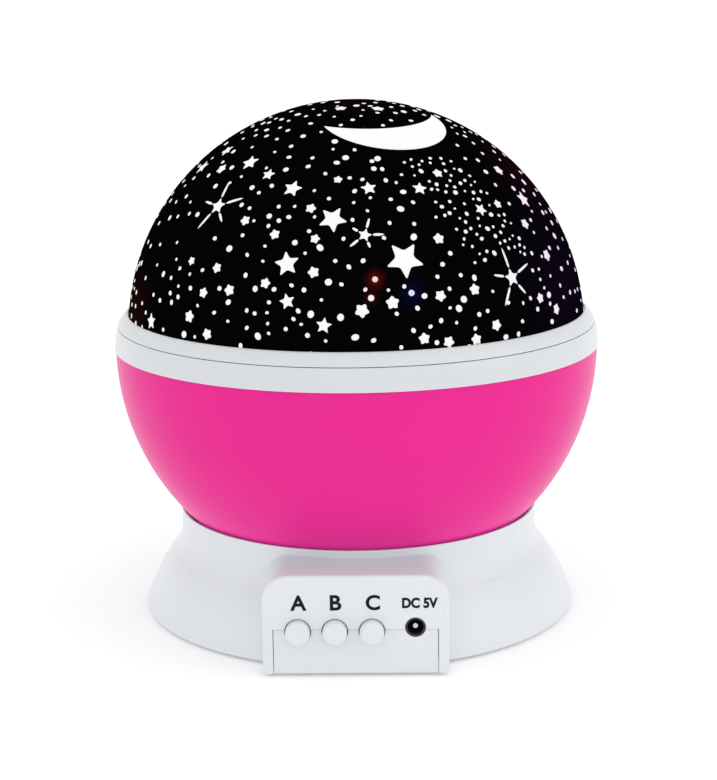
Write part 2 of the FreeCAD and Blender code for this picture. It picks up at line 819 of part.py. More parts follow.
def light_dome():
    outer = dome_radius - dome_wall - light_gap
    low = dome_seat_z + dome_tab_rise + light_gap
    shell = ball(outer, dome_z, low, dome_z + outer + 1)
    return shell.cut(Part.makeSphere(outer - light_wall, V(0, 0, dome_z)))


def dome_collar():
    foot = bowl_radius + rim_overhang - collar_foot_inset
    inner = dome_radius
    return revolve([
        (inner, collar_z), (foot, collar_z), (foot - collar_belly_inset, collar_z + collar_belly_height),
        (foot - collar_shoulder_inset, collar_z + collar_shoulder_height),
        (inner + collar_top_width, collar_top - collar_edge), (inner + collar_edge, collar_top),
        (inner, collar_top),
    ])


def build():
    """Every piece of the projector by its name."""
    nodes = {
        "base_shell": base_shell(),
        "bottom_plate": bottom_plate(),
        "rubber_feet": rubber_feet(),
        "base_screws": screws(base_screw_places(), base_screw_seat(), base_screw_length, False),
        "battery_door": battery_door(),
        "battery_springs": battery_springs(),
        "contact_plates": contact_plates(),
        "chassis_plate": chassis_plate(),
        "chassis_screws": screws(chassis_places(), chassis_top, base_screw_length, True),
        "led_post": led_post(),
        "post_clip": post_clip(),
        "thrust_washer": tube(washer_diameter / 2, post_diameter / 2 + running_clearance,
                              chassis_top, chassis_top + washer_thick),
        "led_board": cylinder(led_board_diameter / 2, led_board_z, led_board_z + led_board_thick),
        "led_lead": led_lead(),
        "motor_lead": motor_lead(),
        "battery_leads": battery_leads(),
        "gearbox": gearbox(),
        "motor_can": cylinder(motor_diameter / 2, chassis_z - gearbox_height - motor_height,
                              chassis_z - gearbox_height, 0, gear_distance),
        "motor_screws": screws(motor_screw_places(), chassis_top, motor_screw_length, True),
        "motor_shaft": cylinder(shaft_diameter / 2, chassis_z - shaft_seat + running_clearance,
                                bowl_floor_z - pinion_floor_gap, 0, gear_distance),
        "drive_pinion": gear(pinion_teeth, gear_z, bowl_floor_z - pinion_floor_gap, 0, gear_distance,
                             -90 + 180 / pinion_teeth, shaft_diameter / 2),
        "control_board": control_board(),
        "switch_bodies": switch_bodies(),
        "dc_jack_body": dc_jack_body(),
        "dc_jack_pin": dc_jack_pin(),
        "bowl": bowl(),
        "rim_ring": rim_ring(),
        "reflector_deck": reflector_deck(),
        "ball_gear": ball_gear(),
        "hub_bush": hub_bush(),
        "gear_screws": screws(gear_screw_places(), gear_screw_seat(), gear_thick, False),
        "star_dome": star_dome(),
        "light_dome": light_dome(),
        "dome_collar": dome_collar(),
    }
    for colour, body in zip(("red", "blue", "green", "white"), leds()):
        nodes["led_" + colour] = body
    for number, cell in enumerate(battery_cells(), 1):
        nodes[f"battery_cell_{number}"] = cell
    for name, x in zip(button_names, button_places()):
        nodes["button_" + name] = button(x)
        nodes["switch_plunger_" + name] = plunger(x)
    return nodes


os.makedirs("parts", exist_ok=True)
for name, shape in build().items():
    shape.exportStep(f"parts/{name}.step")
    print(name, len(shape.Solids), round(shape.Volume, 1), shape.isValid())
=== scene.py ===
import math

import bpy
import numpy as np
from mathutils import Matrix, Vector


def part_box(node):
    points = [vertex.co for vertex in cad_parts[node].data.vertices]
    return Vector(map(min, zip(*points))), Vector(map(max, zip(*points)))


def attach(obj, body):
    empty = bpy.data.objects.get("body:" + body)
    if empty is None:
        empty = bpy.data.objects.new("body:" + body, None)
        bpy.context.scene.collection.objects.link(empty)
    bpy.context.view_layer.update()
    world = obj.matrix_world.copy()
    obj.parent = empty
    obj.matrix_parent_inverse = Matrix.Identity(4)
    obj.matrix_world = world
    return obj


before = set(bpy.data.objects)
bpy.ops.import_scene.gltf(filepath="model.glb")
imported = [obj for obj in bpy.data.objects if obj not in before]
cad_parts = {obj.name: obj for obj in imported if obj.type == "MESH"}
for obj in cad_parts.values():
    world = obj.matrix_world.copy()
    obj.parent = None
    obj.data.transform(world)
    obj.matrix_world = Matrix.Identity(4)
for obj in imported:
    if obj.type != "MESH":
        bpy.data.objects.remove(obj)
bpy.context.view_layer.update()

bl_info = {
    "name": "Star night light",
    "version": (1, 0, 0),
    "blender": (4, 5, 0),
    "location": "View3D > Sidebar > Night Light",
    "description": "Finishes, star print, lettering and studio for a turning star night light",
    "category": "Add Mesh",
}

MM = 0.001
DOME_RADIUS = 60.2 * MM


# Plain helpers


def directions(azimuth, elevation):
    """East, north and outward unit vectors on the dome. Azimuth runs from the front (-Y) towards +X."""
    a, e = math.radians(azimuth), math.radians(elevation)
    out = np.array([math.sin(a) * math.cos(e), -math.cos(a) * math.cos(e), math.sin(e)])
    east = np.array([math.cos(a), math.sin(a), 0.0])
    return east, np.cross(out, east), out


def dome_sphere():
    """Centre and radius of the dome's outer face, in metres: its top comes from the frame."""
    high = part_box("star_dome")[1]
    return np.array([0.0, 0.0, high[2] - DOME_RADIUS]), DOME_RADIUS


def add_mesh(name, points, faces, material, body):
    """A smooth mesh object at the origin that rides on a body and takes a slot's finish."""
    mesh = bpy.data.meshes.new(name)
    mesh.from_pydata([tuple(p) for p in points], [], [tuple(f) for f in faces])
    mesh.polygons.foreach_set("use_smooth", np.full(len(mesh.polygons), True))
    mesh.update()
    piece = bpy.data.objects.new(name, mesh)
    bpy.context.scene.collection.objects.link(piece)
    mesh.materials.append(material)
    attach(piece, body)
    return piece


def grid_faces(rows, columns, closed):
    """Quads of a grid of points, row by row; closed joins the last column to the first."""
    r, c = np.meshgrid(np.arange(rows - 1), np.arange(columns - (0 if closed else 1)), indexing="ij")
    n = (c + 1) % columns
    quads = np.stack([r * columns + c, r * columns + n, (r + 1) * columns + n, (r + 1) * columns + c], -1)
    return quads.reshape(-1, 4)


class Print:
    """Collects small inlays on the dome and joins them into one mesh."""

    def __init__(self):
        self.points, self.faces, self.count = [], [], 0
        self.centre, self.radius = dome_sphere()

    def onto(self, flat, azimuth, elevation, lift):
        """Flat points in metres, carried straight in along the outward line onto the sphere, then lifted."""
        east, north, out = directions(azimuth, elevation)
        x, y = flat[..., 0], flat[..., 1]
        rise = np.sqrt(np.maximum(self.radius ** 2 - x ** 2 - y ** 2, 0))
        place = x[..., None] * east + y[..., None] * north + rise[..., None] * out
        return self.centre + place * ((self.radius + lift) / self.radius)

    def add(self, points, faces):
        """Adds points and faces; each face counts from this patch's first point."""
        self.points.append(points.reshape(-1, 3))
        self.faces.extend([tuple(k + self.count for k in face) for face in faces])
        self.count += len(self.points[-1])

    def patch(self, outline, azimuth, elevation, rings, lift, middle=(0.0, 0.0)):
        """A polar grid: one middle point, rings out to the outline, then a wall down into the dome."""
        sides = len(outline)
        share = (np.arange(rings) + 1)[:, None, None] / rings
        middle = np.array(middle)
        flat = middle + share * (outline - middle)
        pole = self.onto(middle, azimuth, elevation, lift)
        top = self.onto(flat, azimuth, elevation, lift)
        wall = self.onto(outline[None], azimuth, elevation, -lift)
        around = np.arange(sides)
        fan = np.stack([np.zeros_like(around), 1 + around, 1 + (around + 1) % sides], -1)
        grid = np.concatenate([top, wall])
        self.add(np.concatenate([pole[None], grid.reshape(-1, 3)]),
                 [*fan.tolist(), *(1 + grid_faces(rings + 1, sides, True)[:, ::-1]).tolist()])


def star_outline(radius, waist, points, turn, soften=2):
    """A star with rounded corners.

    The straight edges between tips at radius and waists at waist times radius are cut into equal steps,
    and each step's point is then the mean of its neighbours within soften steps on either side.
    """
    corner = np.arange(2 * points)
    reach = np.where(corner % 2 == 0, radius, radius * waist)
    angle = math.radians(90 + turn) + math.pi * corner / points
    corners = np.stack([reach * np.cos(angle), reach * np.sin(angle)], -1)
    steps = 6
    share = (np.arange(steps) / steps)[None, :, None]
    line = corners[:, None] * (1 - share) + np.roll(corners, -1, axis=0)[:, None] * share
    line = line.reshape(-1, 2)
    return np.mean([np.roll(line, k, axis=0) for k in range(-soften, soften + 1)], axis=0)


def speck_outline(radius, bulge, turn, sides=20):
    """A small soft star: radius times one plus bulge times the cosine of five times the angle."""
    angle = np.arange(sides) * 2 * math.pi / sides
    reach = radius * (1 + bulge * np.cos(5 * angle))
    angle = angle + math.radians(turn)
    return np.stack([reach * np.cos(angle), reach * np.sin(angle)], -1)


def dot_outline(radius, stretch, turn, sides=9):
    """An ellipse's points: the circle's, drawn out by stretch along one line and turned."""
    angle = np.arange(sides) * 2 * math.pi / sides
    x, y = radius * stretch * np.cos(angle), radius / stretch * np.sin(angle)
    c, r = math.cos(turn), math.sin(turn)
    return np.stack([c * x - r * y, r * x + c * y], -1)


def ray_outline(start, end, width, direction):
    """A thin spindle along a direction, from start to end, widest near its root."""
    along = np.array([math.cos(direction), math.sin(direction)])
    across = np.array([-along[1], along[0]])
    t = np.array([0.0, 0.12, 0.5, 0.85, 1.0, 0.85, 0.5, 0.12])
    w = np.array([0.0, 0.9, 1.0, 0.7, 0.0, -0.7, -1.0, -0.9])
    return (start + (end - start) * t)[:, None] * along + (width * w / 2)[:, None] * across


# Stars: azimuth, elevation, tip radius in mm, turn. The first group lies over the dome's cut windows.
WINDOW_STARS = (
    (13.5, 26.1, 4.6, 180.0), (-5.2, 36.3, 3.4, -28.0), (-16.3, 25.3, 3.0, 12.0), (-42.1, 51.5, 2.3, 20.0),
    (-19.2, 44.4, 2.3, -10.0), (-30.3, 48.2, 1.6, 0.0), (-71.0, 47.7, 2.1, 24.0), (5.6, 44.6, 1.8, 8.0),
    (22.2, 43.9, 1.7, -14.0), (40.4, 36.8, 1.6, 30.0), (62.9, 37.4, 2.3, -20.0), (-15.3, 16.7, 1.8, 16.0),
    (-6.4, 11.5, 1.8, -8.0), (-57.9, 7.9, 2.0, 10.0), (-64.8, 54.2, 1.8, -24.0), (120.0, 30.0, 4.5, 0.0),
    (150.0, 48.0, 3.0, 22.0), (178.0, 24.0, 3.6, -15.0), (-150.0, 38.0, 4.2, 30.0), (-120.0, 22.0, 3.0, 5.0),
    (-100.0, 44.0, 2.4, -12.0), (95.0, 50.0, 2.6, 18.0), (-175.0, 58.0, 2.2, 0.0),
)
# Sparkles: azimuth, elevation, core radius and ray reach in mm, turn.
SPARKLES = (
    (-43.9, 38.2, 2.5, 7.4, 8.0), (3.6, 32.3, 1.9, 4.6, -16.0), (42.8, 19.5, 2.5, 7.6, 4.0),
    (105.0, 18.0, 2.4, 6.6, 20.0), (165.0, 40.0, 2.2, 6.0, -8.0), (-135.0, 16.0, 2.4, 6.6, 12.0),
)
# Small soft stars: azimuth, elevation, radius in mm.
SMALL_STARS = (
    (-11.9, 39.1, 1.2), (-21.0, 32.2, 1.2), (-9.6, 31.4, 1.1), (-9.3, 23.5, 1.3), (-21.3, 20.6, 1.2),
    (-30.9, 18.4, 1.3), (-38.7, 17.1, 1.2), (-36.0, 23.2, 1.2), (-55.0, 48.5, 1.4), (-36.0, 7.8, 1.3),
    (-42.2, 11.2, 1.4), (-31.4, 35.2, 1.2), (-4.5, 47.2, 1.0), (-45.5, 24.0, 1.0), (31.2, 48.0, 1.2),
    (61.7, 46.5, 1.4), (48.3, 37.6, 1.1), (55.9, 31.4, 1.3), (23.6, 30.6, 1.3), (60.0, 22.8, 1.4),
    (30.7, 18.0, 1.3), (21.4, 17.3, 1.3), (9.6, 16.4, 1.5), (2.4, 14.8, 1.6), (16.6, 8.0, 1.3),
    (22.5, 6.8, 1.3), (29.6, 6.7, 1.3), (35.5, 9.3, 1.3), (51.6, 13.5, 1.2), (58.0, 9.9, 1.3),
    (-13.9, 78.0, 1.4), (28.5, 77.1, 1.5), (-2.3, 54.2, 0.9), (5.7, 21.8, 0.75), (14.3, 18.4, 0.8),
    (4.6, 17.6, 0.8),
)
# Crescent: azimuth and elevation of its middle, and each circle's centre and radius in mm round it.
MOON_PLACE = (20.2, 61.7)
MOON_OUTER = (1.6, 10.4, 15.8)
MOON_INNER = (-0.8, 22.6, 18.9)
# Bare band kept round the crescent, in mm: outside its outer circle and inside its inner one.
MOON_ROOM = (1.2, 1.3)
# Dense star streams, in degrees: azimuth at the middle elevation, half width, and lean for each degree.
STREAM_AZIMUTH = 37
STREAM_LEVEL = 38
STREAM_HALF_WIDTH = 11
STREAM_LEAN = 0.45
STREAM_RANGE = (24, 53)
# Smallest stars: sizes as shares of the dot radius, how often each comes up, and the streams' share.
DOT_SIZES = (0.72, 0.9, 1.05, 1.25, 1.5)
DOT_CHANCES = (0.2, 0.3, 0.25, 0.17, 0.08)
STREAM_DOT_SHARE = 0.75
# Bare rim kept round each larger star.
STAR_ROOM = 0.6 * MM
# Lamps that shine faintly through the dome: azimuth, elevation, reach in metres, colour.
DOME_GLOWS = (
    (5.7, 21.8, 0.0042, (0.075, 0.002, 0.0015)), (14.3, 18.4, 0.0056, (0.0015, 0.001, 0.022)),
    (4.6, 17.6, 0.0034, (0.025, 0.001, 0.001)), (-72.0, 8.0, 0.0220, (0.010, 0.001, 0.001)),
    (66.0, 14.0, 0.0360, (0.0030, 0.0005, 0.0055)), (78.0, 44.0, 0.0280, (0.0055, 0.0004, 0.0022)),
    (10.0, 84.0, 0.0180, (0.0040, 0.0004, 0.0004)), (-150.0, 20.0, 0.0300, (0.001, 0.001, 0.008)),
    (150.0, 16.0, 0.0300, (0.007, 0.001, 0.002)),
)


def crescent_lines(steps, margin):
    """Outer and inner arc of the moon, tip to tip, in mm on the plane that touches the dome at its middle.

    Both arcs are circle points between the two angles where the circles cross.
    """
    ox, oy, outer = MOON_OUTER
    ix, iy, inner = MOON_INNER
    outer += margin
    inner -= margin
    gap = math.hypot(ix - ox, iy - oy)
    lean = math.atan2(iy - oy, ix - ox)
    half_outer = math.acos((gap ** 2 + outer ** 2 - inner ** 2) / (2 * gap * outer))
    half_inner = math.acos((gap ** 2 + inner ** 2 - outer ** 2) / (2 * gap * inner))
    sweep = np.linspace(0, 1, steps)
    a = lean + half_outer + (2 * math.pi - 2 * half_outer) * sweep
    b = lean + math.pi - half_inner + 2 * half_inner * sweep
    far = np.stack([ox + outer * np.cos(a), oy + outer * np.sin(a)], -1)
    near = np.stack([ix + inner * np.cos(b), iy + inner * np.sin(b)], -1)
    return far, near


def over_crescent(out):
    """True where an outward line meets the crescent or the bare band round it."""
    east, north, middle = directions(*MOON_PLACE)
    x = float(out @ east) * DOME_RADIUS / MM
    y = float(out @ north) * DOME_RADIUS / MM
    within = math.hypot(x - MOON_OUTER[0], y - MOON_OUTER[1]) < MOON_OUTER[2] + MOON_ROOM[0]
    beyond = math.hypot(x - MOON_INNER[0], y - MOON_INNER[1]) > MOON_INNER[2] - MOON_ROOM[1]
    return float(out @ middle) > 0 and within and beyond


def in_stream(azimuth, elevation):
    """True inside the dense streams: slanted bands in front and, half a turn on, behind."""
    aside = azimuth % 180 - STREAM_AZIMUTH - STREAM_LEAN * (STREAM_LEVEL - elevation)
    return abs(aside) < STREAM_HALF_WIDTH and STREAM_RANGE[0] < elevation < STREAM_RANGE[1]


# Shader pieces shared by several materials


def new_group(name, inputs, outputs):
    """An empty shader node group with float, vector or colour sockets."""
    group = bpy.data.node_groups.new(name, "ShaderNodeTree")
    for label, kind, value in inputs:
        socket = group.interface.new_socket(name=label, in_out="INPUT", socket_type=kind)
        socket.default_value = value
    for label, kind in outputs:
        group.interface.new_socket(name=label, in_out="OUTPUT", socket_type=kind)
    start = group.nodes.new("NodeGroupInput")
    end = group.nodes.new("NodeGroupOutput")
    return group, start, end


def moulding_group():
    """Fine moulded skin: pebble height, a roughness that drifts, and a slow colour drift mask."""
    group, start, end = new_group(
        "moulded_skin",
        [("Position", "NodeSocketVector", (0, 0, 0)), ("Grain", "NodeSocketFloat", 2400.0),
         ("Rough Low", "NodeSocketFloat", 0.25), ("Rough High", "NodeSocketFloat", 0.35)],
        [("Height", "NodeSocketFloat"), ("Roughness", "NodeSocketFloat"), ("Drift", "NodeSocketFloat")])
    link = group.links.new
    fine = group.nodes.new("ShaderNodeTexNoise")
    fine.inputs["Detail"].default_value = 3.0
    link(start.outputs["Position"], fine.inputs["Vector"])
    link(start.outputs["Grain"], fine.inputs["Scale"])
    slow = group.nodes.new("ShaderNodeTexNoise")
    slow.inputs["Scale"].default_value = 45.0
    slow.inputs["Detail"].default_value = 4.0
    link(start.outputs["Position"], slow.inputs["Vector"])
    spread = group.nodes.new("ShaderNodeMapRange")
    spread.inputs["From Min"].default_value = 0.2
    spread.inputs["From Max"].default_value = 0.8
    link(slow.outputs["Fac"], spread.inputs["Value"])
    link(start.outputs["Rough Low"], spread.inputs["To Min"])
    link(start.outputs["Rough High"], spread.inputs["To Max"])
    link(fine.outputs["Fac"], end.inputs["Height"])
    link(spread.outputs["Result"], end.inputs["Roughness"])
    link(slow.outputs["Fac"], end.inputs["Drift"])
    return group


def glow_group():
    """A soft round glow: full at its centre and nothing at its reach, falling with the square."""
    group, start, end = new_group(
        "soft_glow",
        [("Position", "NodeSocketVector", (0, 0, 0)), ("Centre", "NodeSocketVector", (0, 0, 0)),
         ("Reach", "NodeSocketFloat", 0.01)],
        [("Mask", "NodeSocketFloat")])
    link = group.links.new
    far = group.nodes.new("ShaderNodeVectorMath")
    far.operation = "DISTANCE"
    link(start.outputs["Position"], far.inputs[0])
    link(start.outputs["Centre"], far.inputs[1])
    fall = group.nodes.new("ShaderNodeMapRange")
    fall.interpolation_type = "SMOOTHSTEP"
    fall.inputs["To Min"].default_value = 1.0
    fall.inputs["To Max"].default_value = 0.0
    link(far.outputs["Value"], fall.inputs["Value"])
    link(start.outputs["Reach"], fall.inputs["From Max"])
    square = group.nodes.new("ShaderNodeMath")
    square.operation = "POWER"
    square.inputs[1].default_value = 2.0
    link(fall.outputs["Result"], square.inputs[0])
    link(square.outputs["Value"], end.inputs["Mask"])
    return group


def shared(name, maker):
    """A node group by name, made the first time that it is asked for."""
    return bpy.data.node_groups.get(name) or maker()


def new_material(name):
    """A material with its Principled shader, its tree and Object coordinates."""
    material = bpy.data.materials.new(name)
    material.use_nodes = True
    tree = material.node_tree
    shader = next(n for n in tree.nodes if n.type == "BSDF_PRINCIPLED")
    where = tree.nodes.new("ShaderNodeTexCoord")
    return material, tree, shader, where.outputs["Object"]


def place_group(tree, group, position, values):
    """A group node in a material, with its Position linked and its other inputs set."""
    node = tree.nodes.new("ShaderNodeGroup")
    node.node_tree = group
    tree.links.new(position, node.inputs["Position"])
    for label, value in values.items():
        node.inputs[label].default_value = value
    return node


def moulded(name, low, high, rough, grain=2400.0, depth=0.02, **constants):
    """Moulded plastic, rubber or metal: two near colours that drift, fine bumps, and a roughness range."""
    if name in bpy.data.materials:
        return bpy.data.materials[name]
    material, tree, shader, position = new_material(name)
    skin = place_group(tree, shared("moulded_skin", moulding_group), position,
                       {"Grain": grain, "Rough Low": rough[0], "Rough High": rough[1]})
    ramp = tree.nodes.new("ShaderNodeValToRGB")
    ramp.color_ramp.elements[0].position = 0.2
    ramp.color_ramp.elements[0].color = (*low, 1)
    ramp.color_ramp.elements[1].position = 0.8
    ramp.color_ramp.elements[1].color = (*high, 1)
    tree.links.new(skin.outputs["Drift"], ramp.inputs["Fac"])
    tree.links.new(ramp.outputs["Color"], shader.inputs["Base Color"])
    tree.links.new(skin.outputs["Roughness"], shader.inputs["Roughness"])
    bump = tree.nodes.new("ShaderNodeBump")
    bump.inputs["Strength"].default_value = 0.25
    bump.inputs["Distance"].default_value = depth * MM
    tree.links.new(skin.outputs["Height"], bump.inputs["Height"])
    tree.links.new(bump.outputs["Normal"], shader.inputs["Normal"])
    for label, value in constants.items():
        shader.inputs[label.replace("_", " ")].default_value = value
    return material


def soften_bounce(material, colour):
    """Rays that bounce off the bowl onto the white plastic see a paler colour; the eye sees the true one."""
    tree = material.node_tree
    shader = next(n for n in tree.nodes if n.type == "BSDF_PRINCIPLED")
    source = shader.inputs["Base Color"].links[0].from_socket
    path = tree.nodes.new("ShaderNodeLightPath")
    choice = tree.nodes.new("ShaderNodeMix")
    choice.data_type = "RGBA"
    choice.inputs["B"].default_value = (*colour, 1)
    tree.links.new(path.outputs["Is Diffuse Ray"], choice.inputs["Factor"])
    tree.links.new(source, choice.inputs["A"])
    tree.links.new(choice.outputs["Result"], shader.inputs["Base Color"])


def paint_bowl_uplight(material, colour):
    """Painted light: a soft glow on the lowest part of the bowl, round its floor, standing in for light
    thrown up from the white base below.
    """
    tree = material.node_tree
    shader = next(n for n in tree.nodes if n.type == "BSDF_PRINCIPLED")
    position = next(n for n in tree.nodes if n.type == "TEX_COORD").outputs["Object"]
    glow = add_glows(tree, position, [((0, 0, 0.004), 0.090, colour)])
    tree.links.new(glow, shader.inputs["Emission Color"])
    shader.inputs["Emission Strength"].default_value = 1.0


def near(colour, share):
    """A colour a little darker or lighter: the other end of a drift, and also the ring's painted shade."""
    return tuple(min(1.0, c * share) for c in colour)


def add_glows(tree, position, spots):
    """Sums soft glows: each is a centre, a reach and a colour. Returns a colour socket."""
    total = None
    for centre, reach, colour in spots:
        glow = place_group(tree, shared("soft_glow", glow_group), position,
                           {"Centre": centre, "Reach": reach})
        tint = tree.nodes.new("ShaderNodeMix")
        tint.data_type = "RGBA"
        tint.inputs["A"].default_value = (0, 0, 0, 1)
        tint.inputs["B"].default_value = (*colour, 1)
        tree.links.new(glow.outputs["Mask"], tint.inputs["Factor"])
        if total is None:
            total = tint.outputs["Result"]
            continue
        both = tree.nodes.new("ShaderNodeMix")
        both.data_type = "RGBA"
        both.blend_type = "ADD"
        both.inputs["Factor"].default_value = 1.0
        tree.links.new(total, both.inputs["A"])
        tree.links.new(tint.outputs["Result"], both.inputs["B"])
        total = both.outputs["Result"]
    return total


def on_dome(azimuth, elevation):
    """A point on the dome's outer face."""
    centre, radius = dome_sphere()
    return tuple(centre + radius * directions(azimuth, elevation)[2])


def dark_dome(settings):
    """The dark printed dome, with the coloured lamps glowing faintly through it."""
    material, tree, shader, position = new_material("dark_dome")
    skin = place_group(tree, shared("moulded_skin", moulding_group), position,
                       {"Grain": 1800.0, "Rough Low": 0.38, "Rough High": 0.5})
    tree.links.new(skin.outputs["Roughness"], shader.inputs["Roughness"])
    bump = tree.nodes.new("ShaderNodeBump")
    bump.inputs["Strength"].default_value = 0.15
    bump.inputs["Distance"].default_value = 0.02 * MM
    tree.links.new(skin.outputs["Height"], bump.inputs["Height"])
    tree.links.new(bump.outputs["Normal"], shader.inputs["Normal"])
    shader.inputs["Base Color"].default_value = (*settings.dome_colour, 1)
    shader.inputs["Specular IOR Level"].default_value = 0.0
    spots = [(on_dome(azimuth, elevation), reach, colour) for azimuth, elevation, reach, colour in DOME_GLOWS]
    glows = add_glows(tree, position, spots)
    tree.links.new(glows, shader.inputs["Emission Color"])
    shader.inputs["Emission Strength"].default_value = 1.0
    return material


def star_light(name, settings, strength):
    """Lit stars: white in front, tinted violet and rose towards the right, where the coloured lamps shine."""
    material, tree, shader, position = new_material(name)
    white = tree.nodes.new("ShaderNodeMix")
    white.data_type = "RGBA"
    white.inputs["A"].default_value = (*settings.star_colour, 1)
    white.inputs["B"].default_value = (0.86, 0.62, 0.92, 1)
    side = place_group(tree, shared("soft_glow", glow_group), position,
                       {"Centre": on_dome(72.0, 24.0), "Reach": 0.062})
    tree.links.new(side.outputs["Mask"], white.inputs["Factor"])
    warm = tree.nodes.new("ShaderNodeMix")
    warm.data_type = "RGBA"
    warm.inputs["B"].default_value = (1.0, 0.42, 0.32, 1)
    tree.links.new(white.outputs["Result"], warm.inputs["A"])
    red = place_group(tree, shared("soft_glow", glow_group), position,
                      {"Centre": on_dome(5.4, 20.6), "Reach": 0.0055})
    tree.links.new(red.outputs["Mask"], warm.inputs["Factor"])
    cool = tree.nodes.new("ShaderNodeMix")
    cool.data_type = "RGBA"
    cool.inputs["B"].default_value = (0.62, 0.66, 1.0, 1)
    tree.links.new(warm.outputs["Result"], cool.inputs["A"])
    blue = place_group(tree, shared("soft_glow", glow_group), position,
                       {"Centre": on_dome(14.3, 18.4), "Reach": 0.0045})
    tree.links.new(blue.outputs["Mask"], cool.inputs["Factor"])
    shader.inputs["Base Color"].default_value = (0.25, 0.25, 0.25, 1)
    tree.links.new(cool.outputs["Result"], shader.inputs["Emission Color"])
    shader.inputs["Emission Strength"].default_value = strength
    shader.inputs["Roughness"].default_value = 0.5
    shader.inputs["Specular IOR Level"].default_value = 0.2
    return material


def lamp_lens(name, colour):
    """A small clear coloured lens that glows."""
    material, tree, shader, position = new_material(name)
    shader.inputs["Base Color"].default_value = (*colour, 1)
    shader.inputs["Transmission Weight"].default_value = 0.6
    shader.inputs["IOR"].default_value = 1.5
    shader.inputs["Emission Color"].default_value = (*colour, 1)
    shader.inputs["Emission Strength"].default_value = 0.6
    skin = place_group(tree, shared("moulded_skin", moulding_group), position,
                       {"Grain": 900.0, "Rough Low": 0.08, "Rough High": 0.16})
    tree.links.new(skin.outputs["Roughness"], shader.inputs["Roughness"])
    return material


def dress(material, *nodes):
    """Gives CAD nodes a material, in every slot that they have."""
    for node in nodes:
        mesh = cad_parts[node].data
        mesh.materials.clear()
        mesh.materials.append(material)


# Settings that a user would change


class NightLightSettings(bpy.types.PropertyGroup):
    white_colour: bpy.props.FloatVectorProperty(
        name="White plastic", description="Colour of the base, ring and buttons",
        subtype="COLOR", size=3, min=0, max=1, default=(0.715, 0.735, 0.765))
    pink_colour: bpy.props.FloatVectorProperty(
        name="Bowl plastic", description="Colour of the lower half of the ball",
        subtype="COLOR", size=3, min=0, max=1, default=(0.77, 0.018, 0.265))
    bounce_colour: bpy.props.FloatVectorProperty(
        name="Bowl bounce", description="Colour of the light that the bowl throws onto the base",
        subtype="COLOR", size=3, min=0, max=1, default=(0.28, 0.31, 0.37))
    # Painted light: colour of the glow painted low on the bowl in place of light thrown up from the white
    # base.
    painted_uplight_colour: bpy.props.FloatVectorProperty(
        name="Bowl glow", description="Colour of the faint glow low on the bowl",
        subtype="COLOR", size=3, min=0, max=1, default=(0.90, 0.065, 0.43))
    dome_colour: bpy.props.FloatVectorProperty(
        name="Dome", description="Colour of the dark dome",
        subtype="COLOR", size=3, min=0, max=1, default=(0.0012, 0.0012, 0.0014))
    star_colour: bpy.props.FloatVectorProperty(
        name="Stars", description="Colour of the lit stars",
        subtype="COLOR", size=3, min=0, max=1, default=(0.98, 0.97, 0.97))
    star_strength: bpy.props.FloatProperty(
        name="Star light", description="Brightness of the lit stars", default=0.7, min=0)
    print_lift: bpy.props.FloatProperty(
        name="Print lift", description="How far the print stands off the dome",
        unit="LENGTH", default=0.08 * MM)
    window_lap: bpy.props.FloatProperty(
        name="Window lap", description="How far each lit star laps over its window's edge",
        unit="LENGTH", default=0.12 * MM)
    dot_radius: bpy.props.FloatProperty(
        name="Dot radius", description="Mean radius of the smallest stars", unit="LENGTH", default=0.57 * MM)
    dot_spacing: bpy.props.FloatProperty(
        name="Dot spacing", description="Least distance between small stars", unit="LENGTH", default=3.1 * MM)
    darts: bpy.props.IntProperty(
        name="Darts", description="Tries at placing a small star; few tries leave gaps", default=5200, min=1)
    ray_width: bpy.props.FloatProperty(
        name="Ray width", description="Width of the sparkles' rays", unit="LENGTH", default=0.62 * MM)
    stream_spacing: bpy.props.FloatProperty(
        name="Stream spacing", description="Least distance in the dense star stream",
        unit="LENGTH", default=1.75 * MM)
    letter_height: bpy.props.FloatProperty(
        name="Letter height", description="Height of the letters over the buttons",
        unit="LENGTH", default=3.9 * MM)
    letter_weight: bpy.props.FloatProperty(
        name="Letter weight", description="Swelling of the letters' strokes, as a share of their size",
        default=0.028)
    small_letter_height: bpy.props.FloatProperty(
        name="Inlet label height", description="Height of the power inlet's label",
        unit="LENGTH", default=2.7 * MM)
    letter_line: bpy.props.FloatProperty(
        name="Letter line", description="Height of the letters' middle over the floor",
        unit="LENGTH", default=19.0 * MM)
    seed: bpy.props.IntProperty(name="Star seed", description="Seed of the scattered small stars", default=11)


